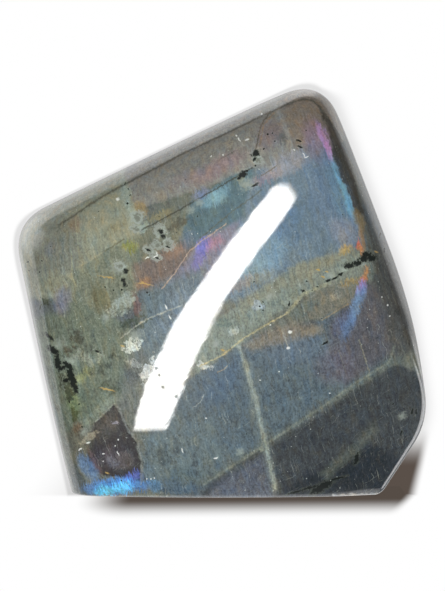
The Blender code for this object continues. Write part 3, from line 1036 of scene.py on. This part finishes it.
# Many patches of one size and tilt: name, half length, half width, tilt, middles.
CLOUDS = (
    ("clouds", 8.0, 6.0, 25, ((119, 267), (135, 336), (70, 362), (247, 184), (58, 345), (139, 217))),
    ("small clouds", 4.5, 3.8, 25, ((191, 210), (199, 203), (256, 160), (330, 275), (344, 270),
        (84, 432), (402, 416), (240, 452), (106, 318), (270, 296), (216, 344))),
)
RINGS_OF_FELDSPAR = (
    ("rings", 6.0, 5.0, -60, ((160, 231), (168, 244.5), (137, 217))),
    ("small rings", 5.0, 3.4, -20, ((149, 250), (157, 245), (136, 229), (120, 266), (156, 257),
        (258, 160), (360, 262))),
)
BLACK = (
    ("chain head", 6.6, 3.4, -36, ((52.5, 350.5), (68, 366))),
    ("chain neck", 8.0, 3.2, -80, ((57, 362.5), (70, 375))),
    ("chain body", 8.4, 3.2, -68, ((73.5, 384.5), (72, 378))),
    ("chain arm", 5.0, 2.0, 12, ((67, 380), (62, 368))),
    ("chain ends", 3.4, 1.5, -50, ((50, 338), (75.6, 391), (47, 336))),
    ("beads", 2.6, 2.4, 80, ((126, 271), (123.5, 280), (124.5, 284.5), (161, 232), (163, 236))),
    ("apex beads", 4.2, 3.0, 20, ((256, 153.5), (242.8, 174.5))),
    ("apex tails", 2.6, 1.3, 40, ((254.5, 159), (247, 171), (239.5, 177.5))),
    ("small beads", 0.9, 0.8, 0, ((147, 293), (149.5, 295), (121.6, 290), (113.6, 290), (124.5, 183.4),
        (128, 189), (130, 195), (268, 134), (272.5, 133), (275, 141), (264, 149), (255, 166),
        (306, 130), (263, 302), (259.5, 307), (263, 310), (253.5, 282), (321.5, 318), (39, 272),
        (26, 262), (27, 271), (41, 261), (50, 246.5), (79, 404), (69, 402), (197, 216), (246, 434),
        (393, 404), (86, 486), (121.4, 480.5), (306.6, 281), (317.4, 287), (312, 290), (82, 427),
        (105, 287), (128, 203))),
    ("streak", 5.6, 3.0, 4, ((372, 258), (364, 259), (357, 263), (349, 265.5), (367, 255))),
    ("streak tail", 3.4, 1.2, 26, ((341, 274), (335, 278), (328, 280.5), (325, 343), (255, 185))),
    ("foot smear", 9.0, 3.6, 26, ((325, 485), (319, 489))),
    ("foot smear tail", 9.0, 1.2, 15, ((308, 488), (296, 492), (338, 478))),
    ("foot drop", 4.4, 2.0, 68, ((357, 456), (356, 461))),
    ("upright flecks", 3.0, 0.8, 76, ((358, 458), (382, 235), (386, 250), (401, 433), (39, 308),
        (289, 304), (412, 411), (416, 412))),
    ("slanted flecks", 2.8, 0.9, -24, ((148.5, 250), (303, 291), (299, 141), (98, 352), (300, 147),
        (157, 258), (168, 247))),
)
WHITE = (
    ("white spots", 1.7, 1.5, 0, ((117.5, 199), (288, 348), (290, 332))),
    ("white grains", 0.9, 0.8, 0, ((223, 155), (262, 113), (329, 393), (279, 371.5), (260, 380),
        (270, 325), (103.5, 454), (103.5, 461.5), (115, 446), (118, 440), (206, 418), (236, 135),
        (211, 156), (382, 297), (388, 305), (390, 316), (294, 150), (147, 479), (151, 479),
        (154, 478))),
    ("white slivers", 2.2, 0.8, 25, ((88, 443), (247, 139), (307, 157), (155, 256), (147, 258),
        (80, 449), (216, 458))),
    ("white shards", 2.6, 0.7, -65, ((166, 307), (170, 317), (118, 453), (182.6, 451), (304, 155),
        (239, 139), (157, 254))),
)
GOLD = (
    ("needles", 8.0, 0.6, -9, ((106, 277), (145, 284))),
    ("lower needle", 7.5, 1.1, -13, ((107.5, 389.5),)),
    ("gold grains", 2.2, 1.0, -20, ((122.4, 346), (143, 283), (107, 473), (318, 270), (222.7, 350),
        (377, 252), (327, 272), (323, 277))),
)

# The back, which can't be seen from the front, has the same minerals in another arrangement.
BACK_DOMAINS = (
    ("back slate", 1.5, (90, 101, 106), 0.9, ((20, 260), (150, 180), (330, 80), (350, 200), (240, 330),
        (60, 420))),
    ("back olive", 1.0, (116, 118, 102), 0.9, ((230, 60), (350, 90), (420, 300), (300, 290),
        (250, 200))),
    ("back sage", 1.2, (118, 128, 116), 0.85, ((15, 230), (60, 190), (150, 250), (120, 360),
        (40, 330))),
    ("back dark", 1.0, (70, 77, 82), 0.9, ((180, 360), (330, 300), (430, 380), (370, 500), (170, 500))),
    ("back taupe", 1.4, (110, 106, 100), 0.8, ((60, 420), (180, 350), (200, 500), (70, 500))),
)
BACK_FLASHES = (
    ("back blue sheet", (150, 300), 78, 34, 38, 0.9, (78, 124, 178), 0.8),
    ("back azure core", (168, 292), 46, 14, 38, 0.8, (84, 160, 214), 0.75),
    ("back teal fringe", (112, 330), 36, 12, 42, 0.9, (86, 148, 150), 0.65),
    ("back gold fringe", (205, 345), 40, 7, 36, 0.9, (158, 138, 80), 0.6),
    ("back violet", (262, 220), 34, 14, 55, 0.9, (116, 104, 156), 0.7),
    ("back steel", (330, 400), 40, 18, 35, 0.95, (86, 106, 134), 0.6),
    ("back rose", (285, 150), 26, 12, 40, 0.9, (140, 118, 124), 0.55),
)
BACK_BLOTCHES = (
    ("back cloud", (214, 250), 16, 9, 30, (158, 168, 160), 0.8),
    ("back mottles", (120, 370), 18, 8, 40, (70, 80, 68), 0.8),
    ("back shade", (300, 270), 18, 7, 20, (72, 80, 74), 0.75),
    ("back frost", (250, 420), 12, 6, -20, (164, 170, 160), 0.7),
)
BACK_VEINS = (
    ("back steep crack", 0.35, 1.0, (146, 156, 140), 0.7, ((190, 150), (226, 300), (262, 440))),
    ("back rising crack", 0.28, 1.0, (140, 146, 130), 0.7, ((50, 400), (210, 322), (372, 240))),
    ("back pale band", 0.6, 1.8, (104, 112, 102), 0.7, ((120, 480), (240, 412), (410, 330))),
    ("back dark cleavage", 0.13, 0.9, (70, 76, 72), 0.7, ((80, 260), (160, 210), (260, 150))),
)
BACK_CLOUDS = (
    ("back clouds", 12.0, 7.0, 20, ((214, 246), (126, 362), (304, 266), (90, 300))),
)
BACK_RINGS = (
    ("back rings", 6.0, 4.4, 30, ((150, 250), (310, 330), (100, 410))),
)
BACK_BLACK = (
    ("back chain", 6.0, 3.2, -52, ((210, 238), (216, 250), (224, 262), (330, 430))),
    ("back streak", 6.5, 2.8, 30, ((120, 366), (132, 359), (300, 268), (311, 262))),
    ("back beads", 2.4, 1.8, 0, ((90, 300), (250, 420), (180, 450), (268, 120))),
)

# What each side is painted with, from the bottom up.
FRONT = (FRONT_DOMAINS, FLASHES, BLOTCHES, VEINS)
BACK = (BACK_DOMAINS, BACK_FLASHES, BACK_BLOTCHES, BACK_VEINS)


# ---------------------------------------------------------------------------------------------
# The brushes. A flat place is a point's (x, 1, z) in mm: its dot product with three numbers is
# any slanted measure across the display face. What is painted by it runs back through the stone,
# as a crystal's layers do.

# A flash's edge fades inwards by its softness, and outwards by this share of it.
FLASH_SPREAD = 0.5
# A noise moves a blotch's edges in and out by this much, and they fade between these reaches.
BLOTCH_RAGGED = 7.0
BLOTCH_FADES = (1.1, 0.3)


def face_mm(pixel):
    """A photograph pixel's place on the display face: x and z in mm."""
    point = face_point(pixel)[0]
    return Vector((point.x, point.z)) / MM


def leaning(tilt):
    """The directions along and across something with this tilt in degrees."""
    along = Vector((math.cos(math.radians(tilt)), math.sin(math.radians(tilt))))
    return along, Vector((-along.y, along.x))


def measure(direction, origin, unit):
    """Numbers whose dot product with a flat place is how far along this direction it lies."""
    return (direction.x / unit, -direction.dot(origin) / unit, direction.y / unit)


def nearer(paint, value, nearest):
    return value if nearest is None else paint.maths("MINIMUM", value, nearest)


def domain_depth(paint, place, corners):
    """How far inside a convex domain a place is, in mm."""
    points = [face_mm(corner) for corner in corners]
    middle = sum(points, Vector((0.0, 0.0))) / len(points)
    depth = None
    for first, second in zip(points, points[1:] + points[:1]):
        edge = (second - first).normalized()
        inward = Vector((-edge.y, edge.x))
        if inward.dot(middle - first) < 0.0:
            inward.negate()
        side = paint.number("DOT_PRODUCT", place, measure(inward, first, 1.0))
        depth = nearer(paint, side, depth)
    return depth


def patch_reach(paint, place, pixel, half_length, half_width, tilt):
    """0 in the middle of an ellipse and 1 at its edge, growing with the square of the distance."""
    middle = face_mm(pixel)
    along, across = leaning(tilt)
    u = paint.number("DOT_PRODUCT", place, measure(along, middle, half_length * PIXEL_MM))
    v = paint.number("DOT_PRODUCT", place, measure(across, middle, half_width * PIXEL_MM))
    return paint.maths("MULTIPLY_ADD", v, v, paint.maths("MULTIPLY", u, u))


def litter_reach(paint, place, half_length, half_width, tilt, pixels):
    """0 in the middle of the nearest of many equal ellipses, and 1 at its edge."""
    origin = Vector((0.0, 0.0))
    along, across = leaning(tilt)
    units = (half_length * PIXEL_MM, half_width * PIXEL_MM)
    u = paint.number("DOT_PRODUCT", place, measure(along, origin, units[0]))
    v = paint.number("DOT_PRODUCT", place, measure(across, origin, units[1]))
    own = paint.joined(u, 0.0, v)
    nearest = None
    for pixel in pixels:
        middle = face_mm(pixel)
        middle = (middle.dot(along) / units[0], 0.0, middle.dot(across) / units[1])
        nearest = nearer(paint, paint.number("DISTANCE", own, middle), nearest)
    return nearest


def litters_reach(paint, place, litters):
    nearest = None
    for name, *shape in litters:
        def build(inner, inner_place):
            return litter_reach(inner, inner_place, *shape)

        nearest = nearer(paint, paint.group(name, build, place), nearest)
    return nearest


def vein_reach(paint, place, points, half_width):
    """0 in the middle of a vein of this half width in mm, and 1 at its edge."""
    nearest = None
    spots = [face_mm(point) for point in points]
    for first, second in zip(spots, spots[1:]):
        along = (second - first).normalized()
        across = Vector((-along.y, along.x))
        half_length = (second - first).length / 2.0 / half_width
        u = paint.number("DOT_PRODUCT", place, measure(along, (first + second) / 2.0, half_width))
        v = paint.number("DOT_PRODUCT", place, measure(across, first, half_width))
        beyond = paint.maths("SUBTRACT", paint.maths("ABSOLUTE", u), half_length)
        away = paint.maths("MAXIMUM", paint.maths("ABSOLUTE", v), beyond)
        nearest = nearer(paint, away, nearest)
    return nearest


def paint_domain(paint, place, colour, domain):
    _, softness, tone, strength, corners = domain
    mask = paint.fade(domain_depth(paint, place, corners), -softness, softness, strength)
    return paint.mix(mask, colour, linear(tone))


def paint_flash(paint, place, colour, flash):
    _, pixel, half_length, half_width, tilt, softness, tone, strength = flash
    reach = patch_reach(paint, place, pixel, half_length, half_width, tilt)
    outer = (1.0 + softness * FLASH_SPREAD) ** 2
    mask = paint.fade(reach, outer, (1.0 - softness) ** 2, strength)
    return paint.mix(mask, colour, linear(tone))


def paint_vein(paint, place, colour, vein):
    _, half_width, softness, tone, strength, points = vein
    reach = vein_reach(paint, place, points, half_width)
    mask = paint.fade(reach, 1.0 + softness, max(1.0 - softness, 0.0), strength)
    return paint.mix(mask, colour, linear(tone))


def paint_features(paint, brush, place, colour, features):
    for feature in features:
        def build(inner, inner_place, inner_colour):
            return brush(inner, inner_place, inner_colour, feature)

        colour = paint.group(feature[0], build, place, colour)
    return colour


def paint_blotches(paint, place, ragged, colour, blotches):
    """Patches whose edges and insides are broken up by a noise around 0."""
    for name, *shape, tone, strength in blotches:
        def build(inner, inner_place, inner_ragged, inner_colour):
            reach = patch_reach(inner, inner_place, *shape)
            reach = inner.maths("MULTIPLY_ADD", inner_ragged, BLOTCH_RAGGED, reach)
            mask = inner.fade(reach, *BLOTCH_FADES, strength)
            return inner.mix(mask, inner_colour, linear(tone))

        colour = paint.group(name, build, place, ragged, colour)
    return colour


# ---------------------------------------------------------------------------------------------
# The feldspar.

# The feldspar's lamellae are much longer along one direction of the face than across it: tilt, and
# length and width in mm. Broader ones are this many times as long and as wide. The detail is how
# fine the noise is that draws them.
LAMELLA_TILT = -75.0
LAMELLA_LENGTH = 3.0
LAMELLA_WIDTH = 0.17
BROADER = (2.0, 4.0)
LAMELLA_DETAIL = 3.0

# Noises that push places about, so that edges wander: scale, detail, and reach in mm.
DRIFT_WARP = (0.12, 2.0, 2.6)
BROAD_WARP = (1.1, 3.0, 1.2)
FINE_WARP = (1.6, 3.0, 0.7)
ROUGH_WARP = (0.5, 3.0, 1.6)
# How far the fibres draw out the ends of the flashes, in mm.
FLASH_DRAWN = 4.0

# Noises that break up the edges of inclusions and of blotches: scale, detail, roughness.
RAGGED_NOISE = (2.2, 4.0, 0.65)
BLOTCHY_NOISE = (0.9, 5.0, 0.7)

# The front's markings pass into the back's between these places along Y, in mm.
BACK_STARTS = (0.5, 4.0)

# The ground that shows where no domain lies: its noise, the levels between which it changes, and
# its two colours.
GROUND_NOISE = (0.05, 3.0)
GROUND_FADES = (0.4, 0.6)
GROUND_TONES = ((106, 111, 102), (82, 91, 96))

# The mottling: noises of three sizes, the fibres and the broader lamellae, the share that each
# has, and how dark they can get together. It is calmer in the upper part of the stone: by how
# much, and between which heights in mm.
COARSE_MOTTLE = (0.33, 4.0, 0.6)
ROUGH_MOTTLE = (0.9, 3.0, 0.6)
FINE_MOTTLE = (2.6, 2.0, 0.6)
MOTTLE_SHARES = (0.45, 0.9, 1.4, 1.2, 0.7)
DARKEST = 0.35
CALMER = 0.4
CALMER_ABOVE = (30.0, 58.0)

# Drifts of warmer and cooler feldspar: their length and width in mm, then for each the levels
# where it starts and is strongest, and its tint.
DRIFT_SIZES = (4.0, 1.0)
TINTS = (
    ((0.50, 0.72), (1.16, 1.03, 0.88, 1.0)),
    ((0.50, 0.28), (0.88, 0.98, 1.11, 1.0)),
)

# Hairlines: tilt, length and width in mm, colour, and the noise levels where they start and are
# strongest, with their strength.
HAIRS = (
    (-77.0, 9.0, 0.14, (172, 178, 166), (0.62, 0.76, 0.42)),
    (33.0, 8.0, 0.13, (166, 172, 156), (0.64, 0.76, 0.36)),
    (33.0, 7.0, 0.16, (58, 62, 54), (0.36, 0.26, 0.42)),
    (58.0, 6.0, 0.12, (178, 186, 184), (0.66, 0.78, 0.30)),
)

# Scattered grains, dark specks and painted bright glints: how densely they lie, and then the picks of
# the smallest and the largest, the largest's size, how soft they are, their colour and strength.
SPECK_SCALE = 0.6
SPECKS = ((0.72, 1.0), 0.10, 0.03, (44, 48, 44), 0.7)
GLINT_SCALE = 2.2
GLINTS = ((0.97, 1.1), 0.30, 0.08, (188, 196, 190), 0.75)
# Glints lie in drifts: the noise, and the levels where they start and are strongest.
GLINT_NOISE = (0.12, 2.0)
GLINT_DRIFTS = (0.40, 0.62, 0.10)

# The inclusions of the front and of the back, and their coats. Each coat has the reaches where it
# starts and is strongest, with its strength, and then its colour and how that is laid on.
INCLUSIONS = (
    (CLOUDS, BACK_CLOUDS, (
        ((1.6, 0.0, 0.6), linear((158, 169, 160)), "MIX"),
    )),
    (RINGS_OF_FELDSPAR, BACK_RINGS, (
        ((1.5, 1.0, 0.7), linear((156, 166, 160)), "MIX"),
        ((0.85, 0.35, 0.7), linear((98, 102, 88)), "MIX"),
    )),
    (BLACK, BACK_BLACK, (
        ((2.3, 1.5, 0.7), (1.3, 1.34, 1.32, 1.0), "MULTIPLY"),
        ((1.6, 1.1, 0.5), linear((70, 76, 66)), "MIX"),
        ((1.15, 0.75, 0.95), linear((18, 22, 22)), "MIX"),
    )),
)
# How far a noise moves their edges.
RAGGED_EDGE = 2.6
# Bright and golden grains lie on the front alone: the reaches where they start and are strongest,
# with their strength, and how much further off they are on the back.
FRONT_GRAINS = ((WHITE, (232, 236, 232)), (GOLD, (190, 160, 92)))
GRAIN_FADES = (1.4, 0.5, 0.85)
FAR_OFF = 9.0

# The scratches of hand polishing, which fray the edges of reflections: their tilt, length and
# width in mm, and their depth.
SCRATCHES = (54.0, 4.0, 0.24)
SCRATCH_DEPTH = 0.0009 * MM

# The stone shines little by itself. A clear coat stands for its polish.
SURFACE = {
    "Roughness": 0.35,
    "Specular IOR Level": 0.12,
    "Coat Weight": 1.0,
    "Coat Roughness": 0.015,
}


def warped(paint, place, scale, detail, reach):
    """The place, pushed about by a noise of this scale by up to about half this reach, in mm."""
    noise = paint.noise(place, scale, detail).outputs[1]
    push = paint.vector("SUBTRACT", noise, (NOISE_MIDDLE, NOISE_MIDDLE, NOISE_MIDDLE))
    return paint.vector("MULTIPLY_ADD", push, (reach, reach, reach), place)


def flattened(paint, place):
    """The flat place of a point."""
    x, _, z = paint.split(place)
    return paint.joined(x, 1.0, z)


def lamellae(paint, here, tilt, length, width):
    """A noise of long fibres."""
    along, across = leaning(tilt)
    u = paint.number("DOT_PRODUCT", here, (along.x / length, 0.0, along.y / length))
    v = paint.number("DOT_PRODUCT", here, (across.x / width, 0.0, across.y / width))
    return paint.grey(paint.joined(u, paint.split(here)[1], v), 1.0, LAMELLA_DETAIL)


def drawn_out(paint, place, fibres):
    """A flat place, moved along the lamellae by their noise."""
    along, _ = leaning(LAMELLA_TILT)
    pull = paint.maths("SUBTRACT", fibres, NOISE_MIDDLE)
    pull = paint.joined(pull, 0.0, pull)
    drawn = (FLASH_DRAWN * along.x, 0.0, FLASH_DRAWN * along.y)
    return paint.vector("MULTIPLY_ADD", pull, drawn, place)


def shade_of(paint, here, rough, fibres):
    """The fine mottling of the feldspar, around 1."""
    length = BROADER[0] * LAMELLA_LENGTH
    width = BROADER[1] * LAMELLA_WIDTH
    noises = (
        paint.grey(here, *COARSE_MOTTLE),
        paint.grey(rough, *ROUGH_MOTTLE),
        paint.grey(here, *FINE_MOTTLE),
        fibres,
        lamellae(paint, rough, LAMELLA_TILT, length, width),
    )
    shade = 1.0 - sum(MOTTLE_SHARES) * NOISE_MIDDLE
    for noise, share in zip(noises, MOTTLE_SHARES):
        shade = paint.maths("MULTIPLY_ADD", noise, share, shade)
    calmer = paint.maths("ADD", paint.fade(paint.split(here)[2], *CALMER_ABOVE, -CALMER), 1.0)
    shade = paint.maths("MULTIPLY_ADD", paint.maths("SUBTRACT", shade, 1.0), calmer, 1.0)
    return paint.maths("MAXIMUM", shade, DARKEST)


def paint_tints(paint, rough, colour):
    """Drifts of warmer and cooler feldspar along its lamellae."""
    drift = lamellae(paint, rough, LAMELLA_TILT, *DRIFT_SIZES)
    for limits, tint in TINTS:
        colour = paint.mix(paint.fade(drift, *limits), colour, tint, "MULTIPLY")
    return colour


def paint_hairs(paint, rough, colour):
    """Hairlines of cleavage, in three directions."""
    for tilt, length, width, tone, limits in HAIRS:
        hair = lamellae(paint, rough, tilt, length, width)
        colour = paint.mix(paint.fade(hair, *limits), colour, linear(tone))
    return colour


def paint_grains(paint, found, pick, grains, colour):
    """Scattered grains, which are larger where their pick is higher."""
    limits, largest, soft, tone, strength = grains
    size = paint.fade(pick, *limits, largest)
    mask = paint.fade(paint.maths("SUBTRACT", size, found["Distance"]), 0.0, soft, strength)
    return paint.mix(mask, colour, linear(tone))


def paint_specks(paint, here, colour):
    """Small dark grains all through the stone."""
    found = paint.scatter(here, SPECK_SCALE)
    pick = paint.node("ShaderNodeSeparateColor", {0: found["Color"]}).outputs["Red"]
    return paint_grains(paint, found, pick, SPECKS, colour)


def paint_glints(paint, here, colour):
    """Painted glints: tiny cleavage flats drawn bright, as if they caught the light, in drifts."""
    found = paint.scatter(here, GLINT_SCALE)
    pick = paint.node("ShaderNodeSeparateColor", {0: found["Color"]}).outputs["Green"]
    drift = paint.fade(paint.grey(here, *GLINT_NOISE), *GLINT_DRIFTS)
    return paint_grains(paint, found, paint.maths("ADD", pick, drift), GLINTS, colour)


def ragged_reach(paint, on_back, place, ragged, front, back):
    """How far it is to the nearest of the front's or the back's patches, with ragged edges."""
    front_reach = litters_reach(paint, place, front)
    back_reach = litters_reach(paint, place, back)
    reach = paint.between(on_back, front_reach, back_reach)
    return paint.maths("MULTIPLY_ADD", ragged, RAGGED_EDGE, reach)


def paint_inclusions(paint, on_back, place, ragged, colour):
    """Pale clouds and rings, black inclusions, and bright and golden grains."""
    for front, back, coats in INCLUSIONS:
        reach = ragged_reach(paint, on_back, place, ragged, front, back)
        for limits, tone, blend in coats:
            colour = paint.mix(paint.fade(reach, *limits), colour, tone, blend)
    front_only = paint.maths("MULTIPLY", on_back, FAR_OFF)
    for litters, tone in FRONT_GRAINS:
        reach = paint.maths("ADD", litters_reach(paint, place, litters), front_only)
        colour = paint.mix(paint.fade(reach, *GRAIN_FADES), colour, linear(tone))
    return colour


def paint_side(paint, places, blotchy, colour, side):
    """One side's domains, flashes, blotches and veins, each over the ones before."""
    domains, flashes, blotches, veins = side
    broad, streaky, fine = places
    colour = paint_features(paint, paint_domain, broad, colour, domains)
    colour = paint_features(paint, paint_flash, streaky, colour, flashes)
    colour = paint_blotches(paint, broad, blotchy, colour, blotches)
    return paint_features(paint, paint_vein, fine, colour, veins)


def stone_colour(paint, here, rough, fibres):
    drifted = warped(paint, here, *DRIFT_WARP)
    broad = flattened(paint, warped(paint, drifted, *BROAD_WARP))
    fine = flattened(paint, warped(paint, here, *FINE_WARP))
    places = (broad, drawn_out(paint, broad, fibres), fine)
    ragged = paint.swing(here, *RAGGED_NOISE)
    blotchy = paint.swing(here, *BLOTCHY_NOISE)
    on_back = paint.fade(paint.split(drifted)[1], *BACK_STARTS)
    clouding = paint.fade(paint.grey(here, *GROUND_NOISE), *GROUND_FADES)
    ground = paint.mix(clouding, linear(GROUND_TONES[0]), linear(GROUND_TONES[1]))
    front = paint_side(paint, places, blotchy, ground, FRONT)
    back = paint_side(paint, places, blotchy, ground, BACK)
    colour = paint.mix(on_back, front, back)
    colour = paint.group("tints", paint_tints, rough, colour)
    colour = paint.group("hairs", paint_hairs, rough, colour)
    shade = paint.group("shade", shade_of, here, rough, fibres)
    colour = paint.mix(1.0, colour, paint.joined(shade, shade, shade), "MULTIPLY")
    colour = paint.group("specks", paint_specks, here, colour)
    colour = paint.group("glints", paint_glints, here, colour)
    return paint.group("inclusions", paint_inclusions, on_back, fine, ragged, colour)


def labradorite_material():
    material = bpy.data.materials.new("labradorite")
    material.use_nodes = True
    tree = material.node_tree
    shader = tree.nodes["Principled BSDF"]
    paint = Painter(tree)
    object_place = paint.node("ShaderNodeTexCoord", {}).outputs["Object"]
    here = paint.vector("MULTIPLY", object_place, (1.0 / MM, 1.0 / MM, 1.0 / MM))
    rough = warped(paint, here, *ROUGH_WARP)
    fibres = lamellae(paint, rough, LAMELLA_TILT, LAMELLA_LENGTH, LAMELLA_WIDTH)
    tree.links.new(stone_colour(paint, here, rough, fibres), shader.inputs["Base Color"])
    scratches = lamellae(paint, rough, *SCRATCHES)
    bump = paint.node("ShaderNodeBump", {"Height": scratches, "Distance": SCRATCH_DEPTH})
    tree.links.new(bump.outputs[0], shader.inputs["Normal"])
    tree.links.new(bump.outputs[0], shader.inputs["Coat Normal"])
    for name, value in SURFACE.items():
        shader.inputs[name].default_value = value
    return material


def add_stone():
    mesh = build_stone_mesh()
    mesh.materials.append(labradorite_material())
    stone = bpy.data.objects.new("labradorite_stone", mesh)
    bpy.context.scene.collection.objects.link(stone)
    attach(stone, "root")
    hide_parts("stone")


add_camera()
add_floor()
add_stone()
add_strip_light()
set_world()
